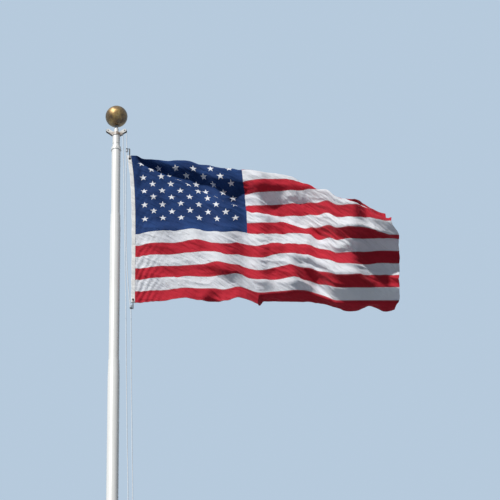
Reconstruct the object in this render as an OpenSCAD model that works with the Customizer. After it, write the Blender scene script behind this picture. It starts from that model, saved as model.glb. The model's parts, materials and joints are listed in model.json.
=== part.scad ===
// Sectional steel flagpole with a revolving double truck, a halyard and a flying flag.
// Millimetres. The origin is the middle of the base flange's underside, +Z is up the pole,
// and the flag flies towards +X.

/* [Pole] */
// Height from the ground to the lower edge of the truck's cap
exposed_h = 9144; // [8900:1:10000]
// Outer diameter of the top section
top_od = 76.2; // [70:0.1:80]
// Growth in outer diameter from each section to the one below it
od_step = 12.7; // [11:0.1:14]
// Wall of every section
tube_wall = 3.2; // [2.6:0.1:4]
// Height of the middle of the lowest swaged joint
joint_1_h = 2400; // [2200:10:2800]
// Height of the middle of the second joint
joint_2_h = 4700; // [4400:10:5000]
// Height of the middle of the third joint
joint_3_h = 6890; // [6600:10:7200]
// Height of the middle of the top joint
joint_4_h = 8390; // [8200:10:8500]
// Length of each swaged cone
swage_l = 150; // [100:1:200]
// Length of the straight neck above each cone
neck_l = 14; // [8:1:30]
// Length of each section that sits inside the one below, under its neck
insert_l = 250; // [150:5:300]

/* [Base] */
// Radius of the base flange
flange_r = 150; // [145:1:180]
// Thickness of the base flange
flange_t = 22; // [16:1:30]
// Diameter of the circle of anchor bolt holes
bolt_pcd = 244; // [236:1:252]
// Radius of each anchor bolt hole
bolt_hole_r = 11; // [8:0.5:13]
// Number of anchor bolt holes
bolt_count = 4; // [4:1:8]
// Height of the socket that holds the bottom section
socket_h = 150; // [100:5:220]
// Wall of the socket
socket_wall = 12; // [8:1:16]
// Thickness of each rib
rib_t = 10; // [6:1:14]
// Depth of the socket's floor above the ground
socket_floor = 14; // [10:1:15]

/* [Cleat] */
// Height of the middle of the cleat
cleat_h = 1450; // [1200:10:1700]
// Length of the horns from tip to tip
cleat_l = 228; // [200:2:260]
// Radius of the horns at the middle
horn_r = 10; // [8:0.5:10]
// Radius of the horns at the tips
horn_tip_r = 6; // [4:0.5:7]
// Length of the foot
foot_l = 104; // [96:1:110]
// Width of the foot
foot_w = 26; // [22:1:32]
// Thickness of the foot
foot_t = 9; // [7:0.5:12]
// Distance of the horns' axis from the pole's surface
horn_reach = 42; // [40:1:46]
// Radius of each leg
leg_r = 8; // [6:0.5:9]
// Distance between the two legs
leg_gap = 44; // [36:1:48]
// Distance between the two screws
screw_gap = 82; // [76:1:86]
// Radius of the screws' shanks
screw_r = 3; // [2:0.25:4]

/* [Truck] */
// Height of the cap's skirt that covers the tube's end
skirt_h = 26; // [20:1:36]
// Wall of the skirt
skirt_wall = 3.8; // [3:0.2:6]
// Thickness of the cap's roof over the tube's end
roof_t = 8; // [6:1:14]
// Radius of the hub above the cap
hub_r = 32; // [28:0.5:36]
// Height of the hub above the cap
hub_h = 112; // [90:1:130]
// Radius of the spindle
spindle_r = 8; // [6:0.5:10]
// Gap between the hub and the revolving head
head_gap = 5; // [3:0.5:8]
// Radius of the revolving head
head_r = 34; // [30:0.5:38]
// Height of the revolving head's ring
head_h = 34; // [28:1:44]
// Radius of the boss on the head
boss_r = 19; // [16:0.5:22]
// Height of the boss on the head
boss_h = 42; // [30:1:50]
// Radial clearance of running fits
run_gap = 0.1; // [0.05:0.01:0.1]

/* [Sheaves] */
// Distance of each sheave's axle from the pole's axis
sheave_x = 70; // [68:0.5:72]
// Height of each axle above the underside of the head
sheave_up = 54; // [50:1:58]
// Outer radius of each sheave
sheave_r = 19; // [18:0.5:21]
// Radius of the bottom of each groove
groove_r = 12.5; // [11.5:0.5:13.5]
// Width of each sheave
sheave_w = 14; // [12:0.5:16]
// Gap between a sheave and each cheek
cheek_gap = 2; // [1:0.25:3]
// Thickness of each cheek
cheek_t = 4; // [3:0.5:6]
// Radius of each axle pin
pin_r = 4; // [3:0.25:5]

/* [Ball] */
// Radius of the ball
ball_r = 94; // [80:1:105]
// Wall of the ball
ball_wall = 1.6; // [1.2:0.1:3]
// Height of the ball's centre above the cap's lower edge
ball_up = 358; // [345:1:380]

/* [Flag] */
// Height of the flag at the hoist
hoist = 1524; // [1400:1:1600]
// Length of the flag when it is flat
fly = 2438; // [2200:1:2600]
// Width of the canvas heading
heading_w = 32; // [28:1:38]
// Thickness of the flag's solids
cloth_t = 3; // [2:0.5:5]
// Thickness of the heading
heading_t = 4; // [3:0.5:6]
// Distance of the flag's top corner from the pole's axis
corner_x = 126; // [122:1:130]
// Lean of the hoist away from the pole, from the top to the bottom corner
hoist_lean = 46; // [30:1:50]
// Height of the top corner below the cap's lower edge
corner_down = 52; // [48:1:60]
// Radius of the hole in each grommet
grommet_r = 5; // [4:0.5:6]
// Width of each grommet's rim
grommet_rim = 4; // [3:0.5:5]
// Distance of each grommet from the end of the heading
grommet_in = 34; // [28:1:40]

/* [Halyard] */
// Radius of the rope
rope_r = 4; // [3:0.25:4.5]

/* [Hidden] */
$fn = 64;

// Sections of the pole, the lowest first
SECTIONS = 5;
joints = [joint_1_h, joint_2_h, joint_3_h, joint_4_h];
function section_r(k) = top_od / 2 + (SECTIONS - k) * od_step / 2;
function section_low(k) = k == 1 ? socket_floor : joints[k - 2] + swage_l / 2 - insert_l;
tube_top = exposed_h + skirt_h;
pole_r = section_r(1);

// Truck heights
hub_low = tube_top + roof_t;
hub_top = hub_low + hub_h;
groove_z = hub_low + 31;
head_z = hub_top + head_gap;
boss_top = head_z + head_h + boss_h;
sheave_z = head_z + sheave_up;
cheek_y = sheave_w / 2 + cheek_gap;
ball_z = exposed_h + ball_up;
socket_up = 22;
nut_t = 12;
nut_r = 15;
wire = 2.6;

// Cleat
horn_x = pole_r + horn_reach;
foot_top = pole_r + foot_t;

// Flag: where its corners are, and how the cloth lies
corner_z = exposed_h - corner_down;
hoist_drop = sqrt(hoist * hoist - hoist_lean * hoist_lean);
STRIPES = 13;
stripe_h = hoist / STRIPES;
canton_stripes = 7;
canton_u = 0.4;
// Share of its flat length that the cloth keeps beside the canton and beyond it
canton_pull = 0.97;
fly_pull = 0.883;
// Mesh steps: columns along the fly, and rows within each stripe
canton_cols = 20;
fly_cols = 30;
cols = canton_cols + fly_cols;
rows = 3;
fine = 2;
levels = STRIPES * rows;

// Each fold of the cloth is a band from one place to another. Its values are the start along the
// fly, the depth of its middle there and half its width there, then the same three at its end,
// and the cloth's tilt in degrees: positive leans back as it rises. Depths and widths are in
// stripes, and a later fold lies over an earlier one.
folds = [
    [0.00, 4.60, 2.20, 0.40, 5.00, 1.60, 3],
    [0.00, 6.35, 0.45, 0.42, 6.35, 0.45, 14],
    [0.24, 8.90, 1.50, 0.38, 9.20, 1.50, 6],
    [0.54, 8.70, 1.60, 0.82, 9.00, 1.60, 8],
    [0.02, 0.00, 0.35, 0.45, 2.68, 0.48, -56],
    [0.40, 2.85, 0.50, 0.56, 3.30, 0.75, -52],
    [0.50, 3.20, 0.70, 0.82, 3.50, 0.50, -48],
    [0.54, 2.05, 0.30, 0.72, 2.50, 0.40, 34],
    [0.04, 0.70, 0.29, 0.43, 4.83, 0.42, 55],
    [0.38, 4.10, 0.40, 0.70, 7.05, 0.50, 31],
    [0.56, 4.60, 0.50, 0.80, 4.60, 0.45, -12],
    [0.72, 5.50, 0.45, 0.92, 5.65, 0.45, 17],
    [0.86, 4.50, 0.50, 1.15, 4.50, 0.50, 20],
    [0.90, 5.50, 0.50, 1.15, 5.50, 0.50, -36],
    [0.63, 6.15, 0.22, 0.92, 6.60, 0.55, -62],
    [0.72, 6.50, 0.50, 0.93, 6.50, 0.50, -66],
    [0.86, 6.50, 0.50, 1.15, 6.50, 0.50, -98],
    [0.91, 6.50, 0.50, 1.15, 6.50, 0.50, -116],
    [0.70, 7.80, 0.25, 0.90, 7.75, 0.35, -56],
    [0.79, 7.55, 0.45, 1.15, 7.50, 0.50, -58],
    [0.75, 8.40, 0.35, 0.92, 8.50, 0.50, -64],
    [0.80, 8.50, 0.50, 1.15, 8.50, 0.50, -60],
    [0.56, 9.25, 0.22, 0.77, 9.75, 0.22, -58],
    [0.69, 9.50, 0.45, 0.90, 9.50, 0.45, 9],
    [0.22, 8.90, 0.35, 0.52, 11.10, 0.35, 17],
    [0.25, 10.30, 0.35, 0.38, 11.60, 0.40, -40],
    [0.61, 10.50, 0.50, 0.88, 10.50, 0.50, -58],
    [0.58, 11.10, 0.25, 0.74, 11.80, 0.30, 30],
    [0.68, 11.50, 0.50, 1.15, 11.50, 0.50, -60],
    [0.54, 11.65, 0.28, 0.68, 11.70, 0.25, -58],
    [0.41, 11.40, 0.35, 0.50, 11.60, 0.30, -50]
];
fold_base = -3;
fold_soft = 0.4;
fold_fade = 0.05;
fold_slant = 0.07;
// Swells towards the viewer: first place and depth of the crest, the last ones, half the swell's
// width along the fly, and its height in stripes
swells = [
    [0.19, 6.6, 0.42, 13.6, 0.075, 0.26],
    [0.50, 7.6, 0.61, 12.6, 0.090, 0.28],
    [0.12, 10.5, 0.19, 13.8, 0.060, 0.14]
];
// The top of the cloth rolls back, and behind the roll a lip stands up again
roll_tilt = 62;
roll_soft = 0.75;
lip_tilt = -15;
lip_soft = 0.5;
// The hem below the lowest seam swings by itself
hem_start = 12;
hem_soft = 0.35;
// Steps of the lowest seam: place along the fly, length, and rise in stripes
seam_steps = [[0, 0.07, 0.15], [0.14, 0.05, 0.13], [0.28, 0.04, -0.12], [0.33, 0.04, 0.14],
    [0.36, 0.09, -0.42], [0.46, 0.05, 0.08], [0.63, 0.06, -0.2], [0.67, 0.085, -0.54]];
// Scallops of the hem: middle, half length, and tilt
scallops = [[0.155, 0.07, 14], [0.277, 0.045, -32], [0.36, 0.05, 10]];

// Route of the rope, chosen by hand, as distances from the pole's axis, sideways and up
rope_cut = exposed_h - 1744;
snap_top_eye = [corner_x - 35, 0, corner_z + 70];
snap_low_eye = [corner_x + hoist_lean - 34, 0, corner_z - hoist_drop - 60];
return_points = [[56, 0, exposed_h + 156], [60, 0, exposed_h + 6], [66, 0, exposed_h - 194],
    [74, 0, exposed_h - 644], [86, 0, exposed_h - 1144], [95, 0, exposed_h - 1544],
    [98, 0, rope_cut], [107, 0, 6800], [118, 0, 6200], [130, 0, 5600], [138, 0, 4700],
    [136, -2, 3800], [130, -6, 2900], [120, -10, 2100], [110, -15, 1650]];
down_points = [[110, 15, 1650], [126, 10, 2100], [146, 6, 2900], [160, 2, 3800],
    [170, 0, 4700], [168, 0, 5600], [158, 0, 6200], [148, 0, 6800], [141, 0, rope_cut],
    snap_low_eye];
bow_points = [snap_top_eye, [88, 0, exposed_h - 94], [86, 0, exposed_h - 294],
    [88, 0, exposed_h - 644], [96, 0, exposed_h - 1044], [110, 0, exposed_h - 1344],
    [126, 0, exposed_h - 1544], snap_low_eye];

// Helpers
function unit(v) = v / norm(v);
function ease(t) = t <= 0 ? 0 : t >= 1 ? 1 : t * t * (3 - 2 * t);
function bell(t) = abs(t) >= 1 ? 0 : (1 + cos(180 * t)) / 2;

// A tube along a part of a route: rings that turn no more than the route does
function tangent(route, i) = i == 0 ? unit(route[1] - route[0])
    : i == len(route) - 1 ? unit(route[i] - route[i - 1])
    : unit(unit(route[i + 1] - route[i]) + unit(route[i] - route[i - 1]));
function across(v, t) = unit(v - (v * t) * t);
function frames(route) = [for (i = 0, n = across([0, 1, 0], tangent(route, 0));
    i < len(route);
    i = i + 1, n = i < len(route) ? across(n, tangent(route, i)) : n) n];

module rope(route, first, last) {
    sides = 8;
    normals = frames(route);
    points = [for (i = [first:last]) let (t = tangent(route, i), n = normals[i], b = cross(t, n))
        for (k = [0:sides - 1])
            route[i] + rope_r * (n * cos(k * 360 / sides) + b * sin(k * 360 / sides))];
    count = last - first;
    walls = [for (i = [0:count - 1]) for (k = [0:sides - 1]) let (a = i * sides + k,
        c = i * sides + (k + 1) % sides)
        each [[a, c, c + sides], [a, c + sides, a + sides]]];
    low_cap = [for (k = [1:sides - 2]) [0, k + 1, k]];
    high_cap = [for (k = [1:sides - 2]) [count * sides, count * sides + k, count * sides + k + 1]];
    polyhedron(points, concat(walls, low_cap, high_cap));
}

// Figure-eight turns of the rope on the cleat, from the returning side to the hauling side
belay_step = 22.5;
function belay_point(a) = let (turn = (a - 135) / 360, front = 16 + 9 * (a - 180) / 180,
    side = 18 + 9 * turn, reach = 58 + 10 * turn, c = cos(2 * a))
    [horn_x + (c > 0 ? front : 17) * c, side * sin(2 * a), cleat_h + reach * sin(a)];
belay_points = [for (a = [135:belay_step:765]) belay_point(a)];

// The rope round the top of the right sheave
rope_turn_r = groove_r + rope_r + 0.4;
sheave_points = [for (a = [0:22.5:180])
    [sheave_x + rope_turn_r * cos(a), 0, sheave_z + rope_turn_r * sin(a)]];

halyard = concat([snap_top_eye, [88, 0, exposed_h + 86]], sheave_points, return_points, belay_points,
    down_points);
return_start = 2 + len(sheave_points);
upper_cut = return_start + 6;
belay_start = return_start + len(return_points);
belay_end = belay_start + len(belay_points) - 1;
lower_cut = belay_end + 9;
halyard_end = len(halyard) - 1;

// The cloth's tilt at a place: its folds, the roll and lip at the top, and the hem. The place
// along the fly runs from 0 to 1, and the depth s below the top edge is in stripes.
function wave(turns, start, u) = sin(turns * u + start);
function sum(v, i = 0) = i < len(v) ? v[i] + sum(v, i + 1) : 0;
function fold_share(f, u, s) = let (share = (u - f[0]) / (f[3] - f[0]),
    mid = f[1] + share * (f[4] - f[1]), half = f[2] + share * (f[5] - f[2]),
    run = u - fold_slant * (s - mid))
    ease((half - abs(s - mid)) / fold_soft + 0.5) * ease((run - f[0]) / fold_fade)
    * ease((f[3] - run) / fold_fade);
function painted(u, s, t, i = 0) = i == len(folds) ? t
    : painted(u, s, t + (folds[i][6] - t) * fold_share(folds[i], u, s), i + 1);
function roll(u) = -0.45 + 2.1 * ease((u - 0.06) / 0.52) + 1.3 * ease((u - 0.585) / 0.1)
    + 5.6 * max(u - 0.66, 0);
function lip(u) = 0.9 * ease((u - 0.765) / 0.05) + 0.45 * ease((u - 0.83) / 0.06)
    - 0.55 * ease((u - 0.9) / 0.1);
function hem(u) = let (turn = ease((u - 0.43) / 0.05))
    (1 - turn) * sum([for (c = scallops) c[2] * bell((u - c[0]) / c[1])])
    + turn * (-87 - 10 * ease((u - 0.62) / 0.1)
    + 18 * ease((u - 0.73) / 0.05) * wave(2170, 157, u));
function tilt(u, s) = let (back = ease((roll(u) - s) / roll_soft + 0.5) * ease(u / 0.1),
    up = ease((lip(u) - s) / lip_soft + 0.5) * ease((u - 0.76) / 0.05),
    low = ease((s - hem_start) / hem_soft),
    t = painted(u, s, fold_base * ease(u / 0.08)))
    ease(u / 0.04) * ((1 - low) * (back * (roll_tilt * (1 - up) + lip_tilt * up)
    + (1 - back) * t) + low * hem(u));
function swell(u, s) = sum([for (w = swells)
    let (crest = w[0] + (w[2] - w[0]) * (s - w[1]) / (w[3] - w[1]))
    w[5] * bell((u - crest) / w[4]) * ease((s - w[1]) / 0.8) * ease((w[3] - s) / 0.8)]);

// The lowest seam: how far back it lies, and its height over the lower corner
function seam_y(u) = stripe_h * (0.3 * ease((u - 0.3) / 0.4) * wave(1150, 40, u)
    + 0.22 * ease(u / 0.2) * wave(800, 0, u) - 0.6 * ease((u - 0.84) / 0.2));
function seam_z(u) = stripe_h * (1 + sum([for (c = seam_steps) c[2] * ease((u - c[0]) / c[1])]))
    + 0.7 * seam_y(u);
// Folds near the hoist run down and out, so they also draw the cloth above them in
function shear(u) = 0.3 * (1 - ease((u - 0.35) / 0.3));
// The heading bows towards the fly, and the fly end gathers at its top and its lower corner
function lean(s) = hoist_lean * (1 - pow(1 - s / STRIPES, 5));
function furl(u, s) = (12 + 65 * ease((6.2 - s) / 1.3)) * ease((u - 0.8) / 0.2)
    + 40 * ease((u - 0.85) / 0.15) * ease((s - 11.7) / 1.3);

// A column of the cloth from the lowest seam, up (way 1) or down (way -1)
function walk(u, way, steps) = let (ds = stripe_h / rows / fine, k = shear(u))
    [for (i = 0, p = [0, seam_y(u), seam_z(u)];
        i <= steps * fine;
        a = tilt(u, STRIPES - 1 - way * (i + 0.5) / rows / fine), i = i + 1,
        p = p + way * ds * [k * (cos(a) - 1), sin(a), cos(a)])
        if (i % fine == 0) p];
function column(u) = let (low = walk(u, -1, rows), high = walk(u, 1, levels - rows))
    concat([for (i = [rows:-1:1]) low[i]], high);
function column_u(i) = i <= canton_cols ? canton_u * i / canton_cols
    : canton_u + (1 - canton_u) * (i - canton_cols) / fly_cols;
function column_x(u) = fly * (min(u, canton_u) * canton_pull + max(u - canton_u, 0) * fly_pull);
cloth = [for (i = [0:cols]) column(column_u(i))];
function cloth_point(i, level) = let (s = STRIPES * (1 - level / levels), u = column_u(i))
    [corner_x + lean(s) + column_x(u) - furl(u, s), -stripe_h * swell(u, s),
        corner_z - hoist_drop] + cloth[i][level];

// Half the cloth's thickness at a point, square to its column
function half_way(i, j) = let (run = cloth[i][min(j + 1, levels)] - cloth[i][max(j - 1, 0)])
    unit([0, run[2], -run[1]]) * cloth_t / 2;

// A patch of the cloth between two columns and two levels, as thick as the cloth
module patch(first, last, low, high) {
    wide = last - first + 1;
    tall = high - low + 1;
    front = [for (i = [first:last]) for (j = [low:high]) cloth_point(i, j) - half_way(i, j)];
    back = [for (i = [first:last]) for (j = [low:high]) cloth_point(i, j) + half_way(i, j)];
    n = wide * tall;
    sheets = [for (i = [0:wide - 2]) for (j = [0:tall - 2]) let (a = i * tall + j, b = a + tall)
        each [[a, a + 1, b + 1], [a, b + 1, b], [n + a, n + b + 1, n + a + 1],
            [n + a, n + b, n + b + 1]]];
    ends = [for (j = [0:tall - 2]) let (b = (wide - 1) * tall + j)
        each [[j, n + j, n + j + 1], [j, n + j + 1, j + 1], [b, b + 1, n + b + 1],
            [b, n + b + 1, n + b]]];
    edges = [for (i = [0:wide - 2]) let (a = i * tall, b = a + tall, c = a + tall - 1,
        d = b + tall - 1)
        each [[a, b, n + b], [a, n + b, n + a], [c, n + c, n + d], [c, n + d, d]]];
    polyhedron([each front, each back], concat(sheets, ends, edges));
}

module stripe(k) {
    color(k % 2 == 1 ? "firebrick" : "whitesmoke")
        patch(k <= canton_stripes ? canton_cols : 0, cols, (STRIPES - k) * rows,
            (STRIPES - k + 1) * rows);
}

module tube_section(k) {
    r = section_r(k);
    low = section_low(k);
    if (k == SECTIONS) {
        rotate_extrude()
            polygon([[r - tube_wall, low], [r, low], [r, tube_top], [r - tube_wall, tube_top]]);
    } else {
        next_r = section_r(k + 1);
        cone_low = joints[k - 1] - swage_l / 2;
        cone_high = joints[k - 1] + swage_l / 2;
        rotate_extrude()
            polygon([[r - tube_wall, low], [r, low], [r, cone_low],
                [next_r + tube_wall, cone_high], [next_r + tube_wall, cone_high + neck_l - 2],
                [next_r + tube_wall - 2, cone_high + neck_l], [next_r, cone_high + neck_l],
                [next_r, cone_high], [r - tube_wall, cone_low]]);
    }
}

module shoe_base() {
    r = pole_r + socket_wall;
    color("whitesmoke")
        difference() {
            union() {
                rotate_extrude()
                    polygon([[0, 0], [flange_r - 2, 0], [flange_r, 2], [flange_r, flange_t - 6],
                        [flange_r - 6, flange_t], [r + 10, flange_t], [r, flange_t + 10],
                        [r, socket_h - 5], [r - 5, socket_h], [0, socket_h]]);
                for (a = [0:360 / bolt_count:359])
                    rotate([90, 0, a + 180 / bolt_count])
                        translate([0, 0, -rib_t / 2])
                            linear_extrude(rib_t)
                                polygon([[pole_r + 1, flange_t - 1], [flange_r - 12, flange_t - 1],
                                    [r + 2, socket_h - 30], [pole_r + 1, socket_h - 30]]);
            }
            translate([0, 0, socket_floor])
                cylinder(r = pole_r, h = socket_h);
            for (a = [0:360 / bolt_count:359])
                rotate([0, 0, a])
                    translate([bolt_pcd / 2, 0, -1])
                        cylinder(r = bolt_hole_r, h = flange_t + 2);
        }
}

module shaft_section_1() {
    color("white")
        difference() {
            tube_section(1);
            for (s = [-1, 1])
                translate([pole_r - 3 * tube_wall, 0, cleat_h + s * screw_gap / 2])
                    rotate([0, 90, 0])
                        cylinder(r = screw_r, h = 6 * tube_wall, $fn = 24);
        }
}

module shaft_section_2() {
    color("white")
        tube_section(2);
}

module shaft_section_3() {
    color("white")
        tube_section(3);
}

module shaft_section_4() {
    color("white")
        tube_section(4);
}

module shaft_section_5() {
    color("white")
        tube_section(5);
}

module cleat() {
    color("silver")
        difference() {
            union() {
                intersection() {
                    translate([0, -foot_w / 2, cleat_h - foot_l / 2])
                        cube([foot_top, foot_w, foot_l]);
                    translate([0, 0, cleat_h])
                        rotate([0, 90, 0])
                            cylinder(r = foot_l / 2, h = foot_top);
                }
                for (s = [-1, 1])
                    translate([foot_top - 1, 0, cleat_h + s * leg_gap / 2])
                        rotate([0, 90, 0])
                            cylinder(r = leg_r, h = horn_x - foot_top + 1);
                translate([horn_x, 0, cleat_h])
                    rotate_extrude()
                        polygon([[0, -cleat_l / 2], [horn_tip_r * 0.6, -cleat_l / 2],
                            [horn_tip_r, -cleat_l / 2 + horn_tip_r * 0.6],
                            [horn_r, -leg_gap / 2], [horn_r, leg_gap / 2],
                            [horn_tip_r, cleat_l / 2 - horn_tip_r * 0.6],
                            [horn_tip_r * 0.6, cleat_l / 2], [0, cleat_l / 2]]);
            }
            cylinder(r = pole_r, h = exposed_h);
            for (s = [-1, 1])
                translate([0, 0, cleat_h + s * screw_gap / 2])
                    rotate([0, 90, 0])
                        cylinder(r = screw_r, h = horn_x, $fn = 24);
        }
}

module cleat_screws() {
    color("silver")
        for (s = [-1, 1])
            translate([pole_r - tube_wall - 2, 0, cleat_h + s * screw_gap / 2])
                rotate([0, 90, 0]) {
                    cylinder(r = screw_r, h = foot_t + tube_wall + 2, $fn = 24);
                    translate([0, 0, foot_t + tube_wall + 2])
                        cylinder(r = screw_r * 2, h = 3, $fn = 24);
                }
}

module truck_hub() {
    r = top_od / 2;
    skirt_r = r + skirt_wall;
    color("gainsboro")
        difference() {
            rotate_extrude()
                polygon([[0, exposed_h], [skirt_r + 1.5, exposed_h], [skirt_r + 1.5, exposed_h + 5],
                    [skirt_r, exposed_h + 8], [skirt_r - 1, tube_top + roof_t / 2],
                    [skirt_r - 5, hub_low], [hub_r + 3, hub_low], [hub_r, hub_low + 4],
                    [hub_r, groove_z - 3], [hub_r - 2.5, groove_z - 1], [hub_r - 2.5, groove_z + 1],
                    [hub_r, groove_z + 3], [hub_r, hub_top - 3], [hub_r - 3, hub_top],
                    [0, hub_top]]);
            translate([0, 0, exposed_h - 1])
                cylinder(r = r, h = skirt_h + 1);
            translate([0, 0, hub_top - 50])
                cylinder(r = spindle_r, h = 51);
            for (a = [30, 150, 270])
                rotate([0, 0, a])
                    translate([r - 2, 0, exposed_h + skirt_h / 2])
                        rotate([0, 90, 0])
                            cylinder(r = screw_r, h = skirt_wall + 6, $fn = 24);
        }
}

module truck_set_screws() {
    color("dimgray")
        for (a = [30, 150, 270])
            rotate([0, 0, a])
                translate([top_od / 2, 0, exposed_h + skirt_h / 2])
                    rotate([0, 90, 0])
                        cylinder(r = screw_r, h = skirt_wall + 1, $fn = 24);
}

module truck_spindle() {
    color("gray")
        translate([0, 0, hub_top - 50])
            cylinder(r = spindle_r, h = ball_z - ball_r + socket_up - hub_top + 50);
}

module thrust_washer() {
    color("dimgray")
        translate([0, 0, hub_top])
            difference() {
                cylinder(r = spindle_r + 7, h = head_gap - run_gap);
                translate([0, 0, -1])
                    cylinder(r = spindle_r, h = head_gap + 2);
            }
}

module hex_nut(z) {
    translate([0, 0, z])
        difference() {
            cylinder(r = nut_r, h = nut_t, $fn = 6);
            translate([0, 0, -1])
                cylinder(r = spindle_r, h = nut_t + 2);
        }
}

module head_nut() {
    color("gray")
        hex_nut(boss_top + run_gap);
}

module ball_nut() {
    color("gray")
        hex_nut(ball_z - ball_r - nut_t - 4);
}

module ball() {
    low = ball_z - ball_r;
    boss = spindle_r + 8;
    color("goldenrod")
        union() {
            difference() {
                translate([0, 0, ball_z])
                    sphere(r = ball_r, $fn = 96);
                translate([0, 0, ball_z])
                    sphere(r = ball_r - ball_wall, $fn = 96);
                translate([0, 0, low - 1])
                    cylinder(r = boss - 1, h = ball_r);
            }
            translate([0, 0, low - 4])
                difference() {
                    cylinder(r = boss, h = socket_up + 4);
                    translate([0, 0, -1])
                        cylinder(r = spindle_r, h = socket_up + 6);
                }
        }
}

module cheek_outline() {
    translate([sheave_x, sheave_z])
        circle(r = sheave_r - 4);
    polygon([[0, head_z + 3], [head_r - 2, head_z + 3],
        [sheave_x + (sheave_r - 4) * cos(-50), sheave_z + (sheave_r - 4) * sin(-50)],
        [sheave_x + (sheave_r - 4) * cos(110), sheave_z + (sheave_r - 4) * sin(110)],
        [boss_r + 8, head_z + head_h + 6], [0, head_z + head_h + 6]]);
}

module truck_head() {
    color("gainsboro")
        difference() {
            union() {
                rotate_extrude()
                    polygon([[0, head_z], [head_r - 2, head_z], [head_r, head_z + 2],
                        [head_r, head_z + head_h - 6], [head_r - 6, head_z + head_h],
                        [boss_r, head_z + head_h], [boss_r, boss_top - 3], [boss_r - 3, boss_top],
                        [0, boss_top]]);
                for (side = [0, 180])
                    for (y = [cheek_y + cheek_t, -cheek_y])
                        rotate([0, 0, side])
                            translate([0, y, 0])
                                rotate([90, 0, 0])
                                    linear_extrude(cheek_t)
                                        cheek_outline();
            }
            translate([0, 0, head_z - 1])
                cylinder(r = spindle_r + run_gap, h = boss_top - head_z + 2);
            for (s = [-1, 1])
                translate([s * sheave_x, 2 * cheek_y, sheave_z])
                    rotate([90, 0, 0])
                        cylinder(r = pin_r, h = 4 * cheek_y, $fn = 48);
        }
}

module axle_pin(s) {
    length = 2 * (cheek_y + cheek_t);
    color("gray")
        translate([s * sheave_x, length / 2, sheave_z])
            rotate([90, 0, 0]) {
                cylinder(r = pin_r, h = length, $fn = 48);
                for (z = [-2, length])
                    translate([0, 0, z])
                        cylinder(r = pin_r + 2.5, h = 2, $fn = 48);
            }
}

module pin_left() {
    axle_pin(-1);
}

module pin_right() {
    axle_pin(1);
}

module sheave(s) {
    half = sheave_w / 2;
    depth = sheave_r - groove_r;
    color("dimgray")
        translate([s * sheave_x, 0, sheave_z])
            rotate([90, 0, 0])
                rotate_extrude($fn = 96)
                    difference() {
                        translate([pin_r + run_gap, -half])
                            square([sheave_r - pin_r - run_gap, sheave_w]);
                        translate([groove_r + half - 1, 0])
                            circle(r = half - 1, $fn = 48);
                        translate([groove_r + half - 1, -half + 1])
                            square([depth, sheave_w - 2]);
                        for (e = [-1, 1])
                            translate([groove_r - 3.5, e * half])
                                circle(r = 2, $fn = 32);
                    }
}

module sheave_left() {
    sheave(-1);
}

module sheave_right() {
    sheave(1);
}

// A snap hook: an eye round the rope, an arm, a barrel and a hook through the grommet
module snap_hook(eye, hole, way) {
    ring = grommet_in / 2 + wire + 1.4;
    ring_mid = hole + [0, 0, way * (ring - 1)];
    barrel_low = min(eye[2], ring_mid[2] + way * ring);
    barrel_high = max(eye[2], ring_mid[2] + way * ring);
    x = hole[0];
    color("darkgoldenrod") {
        translate(ring_mid)
            rotate([0, 90, 0])
                rotate_extrude($fn = 64)
                    translate([ring, 0])
                        circle(r = wire, $fn = 24);
        translate([x, 0, barrel_low])
            cylinder(r = wire + 2, h = barrel_high - barrel_low, $fn = 32);
        translate([eye[0] + rope_r, 0, eye[2]])
            rotate([0, 90, 0])
                cylinder(r = wire, h = x - eye[0] - rope_r, $fn = 24);
        translate(eye)
            rotate_extrude($fn = 48)
                translate([rope_r + wire, 0])
                    circle(r = wire, $fn = 24);
    }
}

function grommet_at(low) = let (down = low ? hoist_drop - grommet_in : grommet_in)
    [corner_x - heading_w / 2 + lean(down / stripe_h), 0, corner_z - down];

module snap_top() {
    snap_hook(snap_top_eye, grommet_at(false), 1);
}

module snap_bottom() {
    snap_hook(snap_low_eye, grommet_at(true), -1);
}

module grommets() {
    color("darkgoldenrod")
        for (low = [false, true])
            translate(grommet_at(low))
                rotate([90, 0, 0])
                    for (s = [-1, 1])
                        translate([0, 0, s * (heading_t / 2 + 0.75) - 0.75])
                            difference() {
                                cylinder(r = grommet_r + grommet_rim, h = 1.5, $fn = 48);
                                translate([0, 0, -1])
                                    cylinder(r = grommet_r, h = 4, $fn = 48);
                            }
}

// A point on the heading's edge, a distance along from the seam between heading and cloth
function heading_point(level, along) = [corner_x + lean(STRIPES * (1 - level / levels)) + along,
    corner_z - hoist_drop + cloth[0][level][2]];

module flag_heading() {
    color("white")
        difference() {
            translate([0, heading_t / 2, 0])
                rotate([90, 0, 0])
                    linear_extrude(heading_t)
                        polygon([for (side = [0, 1]) for (k = [0:levels])
                            heading_point(side == 0 ? k : levels - k, (side - 1) * heading_w)]);
            for (low = [false, true])
                translate(grommet_at(low) + [0, heading_t, 0])
                    rotate([90, 0, 0])
                        cylinder(r = grommet_r, h = 2 * heading_t, $fn = 48);
        }
}

module flag_canton() {
    color("midnightblue")
        patch(0, canton_cols, (STRIPES - canton_stripes) * rows, levels);
}

module halyard_top() {
    color("lightsteelblue")
        rope(halyard, 0, upper_cut);
}

module halyard_return() {
    color("lightsteelblue")
        rope(halyard, upper_cut, belay_start);
}

module halyard_belay() {
    color("lightsteelblue")
        rope(halyard, belay_start, belay_end);
}

module halyard_downhaul() {
    color("lightsteelblue")
        rope(halyard, belay_end, lower_cut);
}

module halyard_tail() {
    color("lightsteelblue")
        rope(halyard, lower_cut, halyard_end);
}

module halyard_bow() {
    color("lightsteelblue")
        rope(bow_points, 0, len(bow_points) - 1);
}

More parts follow.
